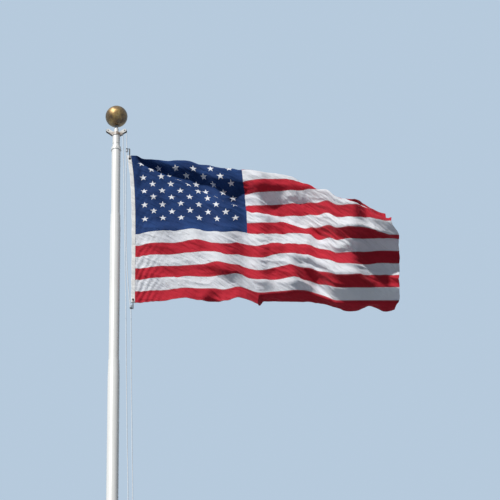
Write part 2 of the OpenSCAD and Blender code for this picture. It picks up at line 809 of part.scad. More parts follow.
shoe_base();
shaft_section_1();
shaft_section_2();
shaft_section_3();
shaft_section_4();
shaft_section_5();
cleat();
cleat_screws();
truck_hub();
truck_set_screws();
truck_spindle();
thrust_washer();
head_nut();
ball_nut();
ball();
halyard_return();
halyard_belay();
halyard_downhaul();
truck_head();
pin_left();
pin_right();
sheave_left();
sheave_right();
halyard_top();
halyard_bow();
halyard_tail();
snap_top();
snap_bottom();
grommets();
flag_heading();
flag_canton();
stripe(1);  // flag_stripe_01
stripe(2);  // flag_stripe_02
stripe(3);  // flag_stripe_03
stripe(4);  // flag_stripe_04
stripe(5);  // flag_stripe_05
stripe(6);  // flag_stripe_06
stripe(7);  // flag_stripe_07
stripe(8);  // flag_stripe_08
stripe(9);  // flag_stripe_09
stripe(10);  // flag_stripe_10
stripe(11);  // flag_stripe_11
stripe(12);  // flag_stripe_12
stripe(13);  // flag_stripe_13
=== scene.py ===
import json
import math

import bpy
import numpy as np
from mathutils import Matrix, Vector


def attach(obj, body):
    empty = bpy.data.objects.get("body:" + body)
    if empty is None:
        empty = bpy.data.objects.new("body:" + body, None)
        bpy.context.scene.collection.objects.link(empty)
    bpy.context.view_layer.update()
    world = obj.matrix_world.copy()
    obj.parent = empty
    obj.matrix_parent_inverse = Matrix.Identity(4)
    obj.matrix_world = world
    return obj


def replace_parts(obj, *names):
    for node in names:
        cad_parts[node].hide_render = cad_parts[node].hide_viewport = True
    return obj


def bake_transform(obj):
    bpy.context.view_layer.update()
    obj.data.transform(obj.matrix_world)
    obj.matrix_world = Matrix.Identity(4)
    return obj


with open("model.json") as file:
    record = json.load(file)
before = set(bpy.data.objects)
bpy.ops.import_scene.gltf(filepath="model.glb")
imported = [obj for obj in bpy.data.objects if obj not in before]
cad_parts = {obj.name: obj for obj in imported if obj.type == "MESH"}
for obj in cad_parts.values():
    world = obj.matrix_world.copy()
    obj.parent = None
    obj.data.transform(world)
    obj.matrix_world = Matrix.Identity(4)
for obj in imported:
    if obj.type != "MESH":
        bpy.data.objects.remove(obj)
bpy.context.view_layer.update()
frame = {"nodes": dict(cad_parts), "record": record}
nodes = frame["nodes"]
scene = bpy.context.scene
rng = np.random.default_rng(7)

# Sizes of the part, in millimetres, as in its source
CAP = 9144.0
HOIST, FLY, STRIPES = 1524.0, 2438.0, 13
STRIPE = HOIST / STRIPES
CORNER_X, LEAN, CORNER_DOWN = 126.0, 46.0, 52.0
CORNER_Z = CAP - CORNER_DOWN
DROP = math.sqrt(HOIST**2 - LEAN**2)
CANTON_ROWS, CANTON_U, CANTON_PULL, FLY_PULL = 7, 0.4, 0.970, 0.883
HEADING_W = 32.0
ROPE_R = 4.0


def link(obj):
    scene.collection.objects.link(obj)
    return obj


def mesh_object(name, verts, faces, smooth=True):
    """An object from vertices in millimetres."""
    mesh = bpy.data.meshes.new(name)
    points = np.asarray(verts, float) / 1000
    mesh.from_pydata(points.tolist(), [], faces)
    mesh.validate()
    if smooth:
        mesh.shade_smooth()
    return link(bpy.data.objects.new(name, mesh))


def finish_piece(obj, material, body):
    obj.data.materials.clear()
    obj.data.materials.append(material)
    if body:
        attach(obj, body)
    return obj


# Camera: a long lens from below, looking up at the flag, in metres and degrees
SENSOR, LENS, CLIP_END = 36, 612, 300
LOOK_UP, LOOK_AT, LOOK_FROM = 35, (1.140, 0, 8.111), 71.8


def make_camera():
    data = bpy.data.cameras.new("camera")
    data.sensor_width = SENSOR
    data.lens = LENS
    data.clip_end = CLIP_END
    cam = link(bpy.data.objects.new("camera", data))
    up = math.radians(LOOK_UP)
    along = Vector((0, math.cos(up), math.sin(up)))
    cam.location = Vector(LOOK_AT) - LOOK_FROM * along
    cam.rotation_euler = along.to_track_quat("-Z", "Y").to_euler()
    scene.camera = cam


make_camera()


# Light: a soft pale sky, seen as a plain backdrop, and one sun from the front left
SKY_COLOUR, SKY_STRENGTH = (0.84, 0.92, 1.0), 0.18
BACKDROP_COLOUR, BACKDROP_STRENGTH = (0.47, 0.59, 0.72), 1.0
SUN_COLOUR, SUN_ENERGY = (1.0, 0.985, 0.955), 3.65
SUN_SPREAD, SUN_SIDE, SUN_HEIGHT = 3, 38, 40


def make_world():
    world = bpy.data.worlds.new("studio")
    scene.world = world
    world.use_nodes = True
    tree = world.node_tree
    tree.nodes.clear()
    out = tree.nodes.new("ShaderNodeOutputWorld")
    mix = tree.nodes.new("ShaderNodeMixShader")
    light = tree.nodes.new("ShaderNodeBackground")
    light.inputs["Color"].default_value = (*SKY_COLOUR, 1)
    light.inputs["Strength"].default_value = SKY_STRENGTH
    shown = tree.nodes.new("ShaderNodeBackground")
    shown.inputs["Color"].default_value = (*BACKDROP_COLOUR, 1)
    shown.inputs["Strength"].default_value = BACKDROP_STRENGTH
    path = tree.nodes.new("ShaderNodeLightPath")
    first = tree.nodes.new("ShaderNodeMath")
    first.operation = "MAXIMUM"
    second = tree.nodes.new("ShaderNodeMath")
    second.operation = "MAXIMUM"
    tree.links.new(path.outputs["Is Camera Ray"], first.inputs[0])
    tree.links.new(path.outputs["Is Glossy Ray"], first.inputs[1])
    tree.links.new(first.outputs[0], second.inputs[0])
    tree.links.new(path.outputs["Is Transmission Ray"], second.inputs[1])
    tree.links.new(second.outputs[0], mix.inputs[0])
    tree.links.new(light.outputs[0], mix.inputs[1])
    tree.links.new(shown.outputs[0], mix.inputs[2])
    tree.links.new(mix.outputs[0], out.inputs["Surface"])


def make_sun():
    data = bpy.data.lights.new("key", "SUN")
    data.energy = SUN_ENERGY
    data.angle = math.radians(SUN_SPREAD)
    data.color = SUN_COLOUR
    sun = link(bpy.data.objects.new("key", data))
    side, height = math.radians(SUN_SIDE), math.radians(SUN_HEIGHT)
    away = Vector((-math.sin(side) * math.cos(height), -math.cos(side) * math.cos(height),
                   math.sin(height)))
    sun.rotation_euler = away.to_track_quat("Z", "Y").to_euler()


make_world()
make_sun()
scene.view_settings.view_transform = "Standard"


# Materials. Heights on the part that they follow, in metres
# Where the painted shade on the truck's ring and arms starts, and how fast it grows with height
ARM_SHADE_FROM, ARM_SHADE_SCALE = (CAP + 151) / 1000, 20.0
BALL_SEAM_Z, BALL_SEAM_HALF = (CAP + 358) / 1000, 0.0012
# Sewing, in metres: the seams' distances from a stripe's edge, thread width and stitch length
STITCH_ROWS, THREAD_HALF, STITCH = (0.0028, 0.0068), 0.0004, 0.0036
# Fine creases in the cloth's bump: turn, squeeze, scale and depth
FINE_CREASES, CREASE_STRENGTH = ((38, 5.5, 3.2, 0.030), (48, 6.0, 7.0, 0.014)), 0.42


class Graph:
    """A node material with one Principled shader."""

    def __init__(self, name):
        self.mat = bpy.data.materials.new(name)
        self.mat.use_nodes = True
        self.tree = self.mat.node_tree
        self.tree.nodes.clear()
        self.out = self.tree.nodes.new("ShaderNodeOutputMaterial")
        self.bsdf = self.tree.nodes.new("ShaderNodeBsdfPrincipled")
        self.join(self.bsdf.outputs[0], self.out.inputs["Surface"])

    def join(self, a, b):
        self.tree.links.new(a, b)

    def put(self, socket, value):
        if hasattr(value, "links"):
            self.join(value, socket)
        elif isinstance(value, tuple) and len(value) == 3 and socket.type == "RGBA":
            socket.default_value = (*value, 1)
        else:
            socket.default_value = value

    def coords(self, scale=None):
        source = self.tree.nodes.new("ShaderNodeTexCoord").outputs["Object"]
        if scale is None:
            return source
        mapping = self.tree.nodes.new("ShaderNodeMapping")
        self.join(source, mapping.inputs["Vector"])
        mapping.inputs["Scale"].default_value = scale
        return mapping.outputs[0]

    def noise(self, vector, scale, detail=3.0, rough=0.5):
        n = self.tree.nodes.new("ShaderNodeTexNoise")
        self.join(vector, n.inputs["Vector"])
        n.inputs["Scale"].default_value = scale
        n.inputs["Detail"].default_value = detail
        n.inputs["Roughness"].default_value = rough
        return n.outputs["Fac"]

    def ramp(self, value, *stops):
        n = self.tree.nodes.new("ShaderNodeValToRGB")
        self.join(value, n.inputs[0])
        ends = n.color_ramp.elements
        while len(ends) < len(stops):
            ends.new(0.5)
        for end, (place, colour) in zip(ends, stops):
            end.position = place
            end.color = (*colour, 1) if isinstance(colour, tuple) else (colour,) * 3 + (1,)
        return n.outputs[0]

    def mix(self, share, a, b):
        n = self.tree.nodes.new("ShaderNodeMix")
        n.data_type = "RGBA"
        self.put(n.inputs["Factor"], share)
        self.put(n.inputs[6], a)
        self.put(n.inputs[7], b)
        return n.outputs[2]

    def math(self, way, a, b=0.0):
        n = self.tree.nodes.new("ShaderNodeMath")
        n.operation = way
        for socket, value in zip(n.inputs, (a, b)):
            self.put(socket, value)
        return n.outputs[0]

    def split(self, vector):
        n = self.tree.nodes.new("ShaderNodeSeparateXYZ")
        self.join(vector, n.inputs[0])
        return n.outputs

    def bump(self, height, strength, distance):
        n = self.tree.nodes.new("ShaderNodeBump")
        self.join(height, n.inputs["Height"])
        n.inputs["Strength"].default_value = strength
        n.inputs["Distance"].default_value = distance
        last = self.bsdf.inputs["Normal"]
        if last.links:
            self.join(last.links[0].from_socket, n.inputs["Normal"])
        self.join(n.outputs[0], last)

    def set(self, **values):
        for name, value in values.items():
            self.put(self.bsdf.inputs[name.replace("_", " ")], value)
        return self.mat


def paint_material(name, base, streak, grime, shade_arms=False):
    g = Graph(name)
    place = g.coords()
    long = g.coords(scale=(1, 1, 0.06))
    streaks = g.ramp(g.noise(long, 46, 4), (0.45, 0.0), (0.75, 1.0))
    chalk = g.ramp(g.noise(place, 14, 5, 0.6), (0.35, 0.0), (0.7, 1.0))
    colour = g.mix(g.math("MULTIPLY", streaks, streak), base, (0.62, 0.62, 0.60))
    colour = g.mix(g.math("MULTIPLY", chalk, 0.25), colour, (0.94, 0.94, 0.93))
    spots = g.ramp(g.noise(place, 130, 2), (0.66, 0.0), (0.74, 1.0))
    colour = g.mix(g.math("MULTIPLY", spots, grime), colour, (0.36, 0.33, 0.28))
    # Painted shade: a brown band, broken into patches, darkens the truck's ring and arms just over
    # the head's foot
    if shade_arms:
        over = g.math("SUBTRACT", g.split(place)[2], ARM_SHADE_FROM)
        low = g.ramp(g.math("MULTIPLY", over, ARM_SHADE_SCALE), (0.0, 0.0), (0.05, 1.0), (0.5, 0.75),
                     (0.95, 0.0))
        shade_patches = g.ramp(g.noise(place, 38, 4, 0.6), (0.36, 0.3), (0.54, 1.0))
        colour = g.mix(g.math("MULTIPLY", low, shade_patches), colour, (0.23, 0.13, 0.06))
    g.bump(g.noise(place, 420, 2), 0.12, 0.0006)
    g.bump(g.noise(place, 60, 3), 0.10, 0.001)
    rough = g.ramp(g.noise(place, 25, 4), (0.3, 0.24), (0.75, 0.46))
    return g.set(Base_Color=colour, Roughness=rough, Coat_Weight=0.15, Coat_Roughness=0.2)


def gold_material():
    g = Graph("gilding")
    place = g.coords()
    wide = g.noise(place, 16, 5, 0.65)
    fine = g.noise(place, 70, 4, 0.6)
    colour = g.ramp(wide, (0.34, (0.07, 0.036, 0.010)), (0.46, (0.17, 0.088, 0.020)),
                    (0.56, (0.30, 0.165, 0.038)), (0.70, (0.46, 0.29, 0.090)))
    colour = g.mix(g.ramp(fine, (0.52, 0.0), (0.66, 0.40)), colour, (0.07, 0.036, 0.014))
    pale = g.ramp(g.noise(place, 24, 3), (0.56, 0.0), (0.68, 0.20))
    colour = g.mix(pale, colour, (0.42, 0.38, 0.28))
    seam = g.math("ABSOLUTE", g.math("SUBTRACT", g.split(place)[2], BALL_SEAM_Z))
    seam = g.math("LESS_THAN", seam, BALL_SEAM_HALF)
    g.bump(seam, 0.4, 0.0008)
    g.bump(wide, 0.25, 0.003)
    g.bump(fine, 0.15, 0.001)
    rough = g.ramp(wide, (0.3, 0.58), (0.7, 0.46))
    return g.set(Base_Color=colour, Roughness=rough, Metallic=0.85, Coat_Weight=0.6,
                 Coat_Roughness=0.46, Coat_IOR=1.7)


def metal_material(name, dark, light, rough_low, rough_high, metallic, scale=60):
    g = Graph(name)
    place = g.coords()
    mark = g.noise(place, scale, 5, 0.6)
    colour = g.ramp(mark, (0.35, dark), (0.65, light))
    g.bump(mark, 0.25, 0.0006)
    g.bump(g.noise(place, scale * 9, 2), 0.2, 0.0002)
    rough = g.ramp(mark, (0.35, rough_high), (0.65, rough_low))
    return g.set(Base_Color=colour, Roughness=rough, Metallic=metallic)


def plastic_material():
    g = Graph("sheave_plastic")
    place = g.coords()
    mark = g.noise(place, 90, 4)
    g.bump(g.noise(place, 900, 2), 0.2, 0.0002)
    return g.set(Base_Color=g.ramp(mark, (0.3, (0.02, 0.02, 0.02)), (0.7, (0.06, 0.06, 0.06))),
                 Roughness=g.ramp(mark, (0.3, 0.42), (0.7, 0.62)))


def rope_material():
    g = Graph("rope")
    place = g.coords()
    mark = g.noise(place, 55, 4)
    colour = g.ramp(mark, (0.3, (0.70, 0.76, 0.84)), (0.7, (0.84, 0.88, 0.92)))
    yarn = g.noise(g.coords(scale=(1, 1, 0.35)), 900, 2)
    colour = g.mix(g.ramp(yarn, (0.4, 0.0), (0.6, 0.30)), colour, (0.42, 0.50, 0.62))
    g.bump(yarn, 0.5, 0.0006)
    return g.set(Base_Color=colour, Roughness=0.78, Sheen_Weight=0.2, Sheen_Roughness=0.5)


def cloth_material(name, base, shade, see_through, sheen=0.10, sewn=True, pitch=0.0009):
    """Woven cloth. The UV map holds its flat place in metres, so weave and stitches follow it."""
    g = Graph(name)
    flat = g.tree.nodes.new("ShaderNodeUVMap")
    flat.uv_map = "cloth"
    flat = flat.outputs[0]
    along, up, _ = g.split(flat)
    warp = g.math("SINE", g.math("MULTIPLY", along, 2 * math.pi / pitch))
    weft = g.math("SINE", g.math("MULTIPLY", up, 2 * math.pi / pitch))
    weave = g.math("MULTIPLY", warp, weft)
    off = g.math("PINGPONG", up, STRIPE / 1000 / 2)
    dash = g.math("SINE", g.math("MULTIPLY", along, 2 * math.pi / STITCH))
    dash = g.math("GREATER_THAN", dash, -0.5)
    near = [g.math("LESS_THAN", g.math("ABSOLUTE", g.math("SUBTRACT", off, row)), THREAD_HALF)
            for row in STITCH_ROWS]
    thread = g.math("MULTIPLY", g.math("MAXIMUM", *near), dash)
    cloudy = g.noise(flat, 5, 4, 0.6)
    slub = g.noise(flat, 260, 2)
    colour = g.mix(g.ramp(cloudy, (0.35, 0.0), (0.7, 1.0)), base, shade)
    colour = g.mix(g.ramp(slub, (0.45, 0.0), (0.7, 0.18)), colour, shade)
    if sewn:
        colour = g.mix(g.math("MULTIPLY", thread, 0.5), colour, (0.66, 0.66, 0.68))
    g.bump(weave, 0.25, 0.0003)
    g.bump(slub, 0.15, 0.0006)
    if sewn:
        g.bump(thread, 0.5, 0.0005)
    for turn, squeeze, scale, distance in FINE_CREASES:
        turned = g.tree.nodes.new("ShaderNodeMapping")
        g.join(flat, turned.inputs["Vector"])
        turned.vector_type = "TEXTURE"
        turned.inputs["Rotation"].default_value = (0, 0, math.radians(-turn))
        turned.inputs["Scale"].default_value = (1, 1 / squeeze, 1)
        crease = g.math("ABSOLUTE", g.math("SUBTRACT", g.noise(turned.outputs[0], scale, 2), 0.5))
        g.bump(g.math("SQRT", crease), CREASE_STRENGTH, distance)
    g.set(Base_Color=colour, Roughness=0.82, Sheen_Weight=sheen, Sheen_Roughness=0.4,
          Specular_IOR_Level=0.2)
    if see_through:
        back = g.tree.nodes.new("ShaderNodeBsdfTranslucent")
        g.put(back.inputs["Color"], colour)
        g.join(g.bsdf.inputs["Normal"].links[0].from_socket, back.inputs["Normal"])
        both = g.tree.nodes.new("ShaderNodeMixShader")
        both.inputs[0].default_value = see_through
        g.join(g.bsdf.outputs[0], both.inputs[1])
        g.join(back.outputs[0], both.inputs[2])
        g.join(both.outputs[0], g.out.inputs["Surface"])
    return g.mat


MATERIALS = {
    "pole_paint": paint_material("pole_paint", (0.90, 0.90, 0.885), 0.22, 0.10),
    # The truck's casting carries the painted shade on its ring and arms
    "truck_casting": paint_material("truck_casting", (0.88, 0.88, 0.86), 0.35, 0.45, True),
    "cleat_casting": metal_material("cleat_casting", (0.42, 0.42, 0.42), (0.66, 0.66, 0.67),
                                    0.34, 0.55, 0.85),
    "fixings": metal_material("fixings", (0.10, 0.09, 0.08), (0.34, 0.33, 0.32), 0.35, 0.62, 0.8),
    "gilding": gold_material(),
    "rope": rope_material(),
    "bronze": metal_material("bronze", (0.020, 0.017, 0.015), (0.09, 0.07, 0.05), 0.42, 0.6, 0.35,
                             120),
    "sheave_plastic": plastic_material(),
    "canvas": cloth_material("canvas", (0.88, 0.88, 0.87), (0.76, 0.77, 0.80), 0, 0.1, False,
                             0.0016),
    "blue_cloth": cloth_material("blue_cloth", (0.014, 0.052, 0.185), (0.009, 0.030, 0.115),
                                 0.0, 0.02, False),
    "white_cloth": cloth_material("white_cloth", (0.89, 0.90, 0.93), (0.83, 0.84, 0.89), 0.24),
    "red_cloth": cloth_material("red_cloth", (0.52, 0.018, 0.040), (0.42, 0.012, 0.026), 0.0,
                                0.05),
    "star_thread": cloth_material("star_thread", (0.90, 0.91, 0.95), (0.84, 0.87, 0.93), 0.0,
                                  0.05, False, 0.0014),
}
slots = {row["node"]: row["material_slot"] for row in frame["record"]["subparts"]}
for name, obj in nodes.items():
    obj.data.materials.clear()
    obj.data.materials.append(MATERIALS[slots[name]])
    for holder in obj.material_slots:
        holder.link = "OBJECT"
        holder.material = MATERIALS[slots[name]]


# The cloth's shape: the part's own rules, with its roll, its lip and two folds drawn closer
def ease(t):
    t = np.clip(t, 0.0, 1.0)
    return t * t * (3 - 2 * t)


def bell(t):
    return np.where(np.abs(t) >= 1, 0.0, (1 + np.cos(np.pi * np.clip(t, -1, 1))) / 2)


def wave(turns, start, u):
    return np.sin(np.radians(turns * u + start))


def along_steps(table, u):
    """The sum of the smooth steps in a table of fly place, length and rise."""
    return sum(rise * ease((u - start) / run) for start, run, rise in table)


# Folds, painted in this order: fly place, depth of its middle and half depth in stripes at its
# first end, the same at its last end, and how far the cloth there leans back, in degrees
FOLDS = [
    (0.00, 4.60, 2.20, 0.40, 5.00, 1.60, 3),
    (0.00, 6.35, 0.45, 0.42, 6.35, 0.45, 14),
    (0.24, 8.90, 1.50, 0.38, 9.20, 1.50, 6),
    (0.54, 8.70, 1.60, 0.82, 9.00, 1.60, 8),
    (-0.05, -0.44, 0.33, 0.45, 2.68, 0.48, -56),
    (0.40, 2.85, 0.50, 0.56, 3.30, 0.75, -52),
    (0.50, 3.20, 0.70, 0.82, 3.50, 0.50, -48),
    (0.54, 2.05, 0.30, 0.72, 2.50, 0.40, 34),
    (0.005, 0.33, 0.285, 0.43, 4.83, 0.42, 55),
    (0.38, 4.10, 0.40, 0.70, 7.05, 0.50, 31),
    (0.56, 4.60, 0.50, 0.80, 4.60, 0.45, -12),
    (0.72, 5.50, 0.45, 0.92, 5.65, 0.45, 17),
    (0.86, 4.50, 0.50, 1.15, 4.50, 0.50, 20),
    (0.90, 5.50, 0.50, 1.15, 5.50, 0.50, -36),
    (0.63, 6.15, 0.22, 0.92, 6.60, 0.55, -62),
    (0.72, 6.50, 0.50, 0.93, 6.50, 0.50, -66),
    (0.86, 6.50, 0.50, 1.15, 6.50, 0.50, -98),
    (0.91, 6.50, 0.50, 1.15, 6.50, 0.50, -116),
    (0.70, 7.80, 0.25, 0.90, 7.75, 0.35, -56),
    (0.79, 7.55, 0.45, 1.15, 7.50, 0.50, -58),
    (0.75, 8.40, 0.35, 0.92, 8.50, 0.50, -6),
    (0.80, 8.50, 0.50, 1.15, 8.50, 0.50, -10),
    (0.56, 9.25, 0.22, 0.77, 9.75, 0.22, -58),
    (0.69, 9.50, 0.45, 0.90, 9.50, 0.45, 9),
    (0.22, 8.90, 0.35, 0.52, 11.10, 0.35, 17),
    (0.25, 10.30, 0.35, 0.38, 11.60, 0.40, -40),
    (0.61, 10.50, 0.50, 0.88, 10.50, 0.50, -58),
    (0.58, 11.10, 0.25, 0.74, 11.80, 0.30, 30),
    (0.68, 11.50, 0.50, 1.15, 11.50, 0.50, -60),
    (0.54, 11.65, 0.28, 0.68, 11.70, 0.25, -58),
    (0.41, 11.40, 0.35, 0.50, 11.60, 0.30, -50),
]
FOLD_BASE, FOLD_SOFT, FOLD_FADE, FOLD_SLANT = -3, 0.40, 0.05, 0.07
# Swells towards the viewer: first place and depth of the crest, last ones, half width, height
SWELLS = [
    (0.19, 6.6, 0.42, 13.6, 0.075, 0.26),
    (0.50, 7.6, 0.61, 12.6, 0.090, 0.28),
    (0.12, 10.5, 0.19, 13.8, 0.060, 0.14),
]
# The top edge rolls back, and its end turns up again as a lip: how deep, in stripes, and the lean
ROLL_TILT, ROLL_SOFT, LIP_TILT, LIP_SOFT = 62, 0.75, -15, 0.5
ROLL_STEPS, ROLL_FIRST = [(0.05, 0.1, 0.45), (0.16, 0.42, 1.65), (0.585, 0.1, 1.3)], -0.45
ROLL_LAST, ROLL_SLOPE = 0.66, 5.6
LIP_STEPS = [(0.755, 0.04, 0.52), (0.8, 0.065, 0.34), (0.875, 0.03, 0.06)]
LIP_FIRST, LIP_RUN = 0.75, 0.07
# Smooth starts at the heading: of the base lean, of the roll, and of everything
BASE_RUN, BACK_RUN, HOIST_RUN = 0.08, 0.1, 0.04
HEM_START, HEM_SOFT = 12.0, 0.35
# The hem's right part tucks under: where, its lean, its steps, and waves at the far end
TUCK_START, TUCK_RUN, TUCK_TILT = 0.444, 0.012, -87
TUCK_STEPS, TUCK_WAVES, TUCK_TURNS, TUCK_PHASE = [(0.62, 0.1, -10)], [(0.73, 0.05, 18)], 2170, 157
# Steps of the lowest seam: fly place, length, rise in stripes
SEAM_STEPS = [
    (0.00, 0.07, 0.15), (0.14, 0.05, 0.13), (0.28, 0.04, -0.12), (0.33, 0.04, 0.14),
    (0.36, 0.09, -0.42), (0.46, 0.05, 0.08), (0.63, 0.06, -0.20), (0.67, 0.085, -0.54),
]
# Scallops of the hem: middle, half length, lean
SCALLOPS = [(0.155, 0.07, 14), (0.277, 0.045, -32), (0.36, 0.05, 10)]
# The lowest seam's waves to and from the viewer: share, smooth start and its length, turns and
# phase. Its swing towards the viewer at the fly end: start, length and share
SEAM_WAVES = [(0.3, 0.3, 0.4, 1150, 40), (0.22, 0.0, 0.2, 800, 0)]
SEAM_SWING, SEAM_CLIMB = (0.84, 0.2, 0.6), 0.7
SWELL_SOFT, SHEAR, SHEAR_START, SHEAR_RUN = 0.8, 0.3, 0.35, 0.3
# The fly end gathers towards the heading, in millimetres, from a fly place, by depths in stripes
FURL_ALL, FURL_TOP, FURL_START, FURL_RUN = 12, 65, 0.8, 0.2
FURL_TOP_DEPTH, FURL_SOFT = 6.2, 1.3
FURL_LOW, FURL_LOW_START, FURL_LOW_RUN, FURL_LOW_DEPTH = 40, 0.85, 0.15, 11.7


def paint(fold, t, u, s):
    """The cloth's lean after a fold is laid over what is there."""
    u0, mid0, half0, u1, mid1, half1, leaned = fold
    share = (u - u0) / (u1 - u0)
    mid = mid0 + share * (mid1 - mid0)
    half = half0 + share * (half1 - half0)
    run = u - FOLD_SLANT * (s - mid)
    w = ease((half - np.abs(s - mid)) / FOLD_SOFT + 0.5) * ease((run - u0) / FOLD_FADE) \
        * ease((u1 - run) / FOLD_FADE)
    return t + w * (leaned - t)


def roll(u):
    """How many stripes have rolled back over the top."""
    return ROLL_FIRST + along_steps(ROLL_STEPS, u) + ROLL_SLOPE * np.maximum(u - ROLL_LAST, 0)


def hem(u):
    """How far the lowest stripe leans back."""
    left = sum(h * bell((u - m) / w) for m, w, h in SCALLOPS)
    right = TUCK_TILT + along_steps(TUCK_STEPS, u) \
        + along_steps(TUCK_WAVES, u) * wave(TUCK_TURNS, TUCK_PHASE, u)
    turn = ease((u - TUCK_START) / TUCK_RUN)
    return (1 - turn) * left + turn * right


def tilt(u, s):
    """How far the cloth leans back at a place along the fly and a depth, in degrees."""
    back = ease((roll(u) - s) / ROLL_SOFT + 0.5) * ease(u / BACK_RUN)
    up = ease((along_steps(LIP_STEPS, u) - s) / LIP_SOFT + 0.5) * ease((u - LIP_FIRST) / LIP_RUN)
    low = ease((s - HEM_START) / HEM_SOFT)
    t = FOLD_BASE * ease(u / BASE_RUN) + 0 * s
    for fold in FOLDS:
        t = paint(fold, t, u, s)
    t = t * (1 - back) + (ROLL_TILT * (1 - up) + LIP_TILT * up) * back
    return (t * (1 - low) + low * hem(u)) * ease(u / HOIST_RUN)


def swell(u, s):
    """How far the cloth swells towards the viewer, in stripes."""
    rise = 0 * u * s
    for u0, s0, u1, s1, half, high in SWELLS:
        crest = u0 + (u1 - u0) * (s - s0) / (s1 - s0)
        rise = rise + high * bell((u - crest) / half) * ease((s - s0) / SWELL_SOFT) \
            * ease((s1 - s) / SWELL_SOFT)
    return rise


def seam_y(u):
    """The lowest seam's distance behind the pole's axis."""
    waves = sum(share * ease((u - start) / run) * wave(turns, phase, u)
                for share, start, run, turns, phase in SEAM_WAVES)
    start, run, share = SEAM_SWING
    return STRIPE * (waves - share * ease((u - start) / run))


def seam_z(u):
    """The lowest seam's height over the lower corner of the hoist."""
    return STRIPE * (1 + along_steps(SEAM_STEPS, u)) + SEAM_CLIMB * seam_y(u)


def lean(s):
    """How far the heading has bowed towards the fly at a depth."""
    return LEAN * (1 - (1 - s / STRIPES) ** 5)


def shear(u):
    """How much of a fold's depth is drawn back towards the heading."""
    return SHEAR * (1 - ease((u - SHEAR_START) / SHEAR_RUN))


def furl(u, s):
    """How far the fly end has gathered towards the heading, most at its top and lowest corner."""
    top = FURL_ALL + FURL_TOP * ease((FURL_TOP_DEPTH - s) / FURL_SOFT)
    low = FURL_LOW * ease((s - FURL_LOW_DEPTH) / FURL_SOFT)
    return top * ease((u - FURL_START) / FURL_RUN) \
        + low * ease((u - FURL_LOW_START) / FURL_LOW_RUN)


# A fine table of the cloth's middle surface: places along the fly by depths in stripes
TABLE_U, TABLE_S = 721, 521


def cloth_table():
    """Each column is summed from its lean, and hung from the lowest seam."""
    u = np.linspace(0, 1, TABLE_U)[:, None]
    s = np.linspace(0, STRIPES, TABLE_S)[None, :]
    step = STRIPES / (TABLE_S - 1)
    mid = s[:, :-1] + step / 2
    a = np.radians(tilt(u, mid))
    k = shear(u)
    parts = np.stack([k * (np.cos(a) - 1), np.sin(a), np.cos(a)], -1) * step * STRIPE
    down = np.concatenate([np.zeros((TABLE_U, 1, 3)), np.cumsum(parts, 1)], 1)
    seam = int(round((STRIPES - 1) / step))
    climb = down[:, seam:seam + 1] - down
    base = np.stack([0 * u[:, 0], seam_y(u[:, 0]), seam_z(u[:, 0])], -1)[:, None]
    along = FLY * (np.minimum(u, CANTON_U) * CANTON_PULL + np.maximum(u - CANTON_U, 0) * FLY_PULL)
    place = climb + base
    place[..., 0] += CORNER_X + lean(s) + along - furl(u, s)
    place[..., 1] -= STRIPE * swell(u, s)
    place[..., 2] += CORNER_Z - DROP
    return place


def table_normals(place):
    du = np.gradient(place, axis=0)
    up = -np.gradient(place, axis=1)
    n = np.cross(du, up)
    return n / np.linalg.norm(n, axis=-1, keepdims=True)


GRID = rng.random((64, 64))


def value_noise(x, y):
    i, j = np.floor(x).astype(int), np.floor(y).astype(int)
    p, q = x - i, y - j
    p, q = p * p * (3 - 2 * p), q * q * (3 - 2 * q)
    i, j, i1, j1 = i % 64, j % 64, (i + 1) % 64, (j + 1) % 64
    low = GRID[i, j] * (1 - p) + GRID[i1, j] * p
    return low * (1 - q) + (GRID[i, j1] * (1 - p) + GRID[i1, j1] * p) * q


def creases(x, y, turn, long, wide, shift):
    """Ridges that run at an angle: crisp along their crests."""
    c, k = math.cos(math.radians(turn)), math.sin(math.radians(turn))
    p, q = x * c + y * k, -x * k + y * c
    q = q + 0.5 * wide * value_noise(x / 130 + shift, y / 130)
    n = value_noise(p / long + shift, q / wide + 3 * shift)
    return 1 - np.abs(2 * n - 1) ** 0.8


# Creases: height in millimetres, where they are (a mask's name), turn, length, width and shift
CREASES = [
    (15.0, "calm", 26, 560, 150, 0.0),
    (12.0, "calm", 21, 340, 80, 11.3),
    (10.5, "patch", 34, 230, 46, 23.7),
    (4.5, "between", 12, 170, 38, 41.1),
    (0.8, "all", -35, 60, 26, 71.9),
    (10.0, "crumple", 60, 60, 30, 57.9),
]
CREASE_MIDDLE = 18
# Bands of close ripples under the canton: share, depth, half depth, fly start and end with lengths
RIPPLE_BANDS = [(1.0, 7.5, 0.7, 0.34, 0.08, 0.62, 0.1), (0.6, 9.5, 0.6, 0.36, 0.06, 0.5, 0.1)]
RIPPLE_HIGH, RIPPLE_TURN, RIPPLE_LONG = 7.5, 36, 15.0
PUCKER_HIGH, PUCKER_END = 3.4, 0.14
# Flutter of the fly edge: height, length and start of its two waves
FLUTTER, FLUTTER_START = ((14, 62.0, 0.6), (6, 23.0, 0.0)), 0.95


def crease_masks(u, s, x, y):
    """Where each kind of crease is, from 0 to 1."""
    patch = ease((value_noise(x / 210 + 5, y / 150 + 9) - 0.3) / 0.3)
    return {
        "all": 1.0,
        "calm": 0.6 + 0.4 * ease((u - 0.15) / 0.3),
        "patch": patch,
        "between": 1 - 0.6 * patch,
        "crumple": np.exp(-((s - 3.45) / 0.4) ** 2) * np.exp(-((u - 0.6) / 0.05) ** 2),
    }


def ripples(u, s, x, y):
    """Close slanting ripples in bands under the canton."""
    band = sum(share * np.exp(-((s - mid) / half) ** 2) * ease((u - first) / run)
               * (1 - ease((u - last) / fade))
               for share, mid, half, first, run, last, fade in RIPPLE_BANDS)
    turn = math.radians(RIPPLE_TURN)
    q = -x * math.sin(turn) + y * math.cos(turn)
    return RIPPLE_HIGH * band * np.abs(
        np.sin(q / RIPPLE_LONG + 1.6 * value_noise(x / 70, y / 70)))


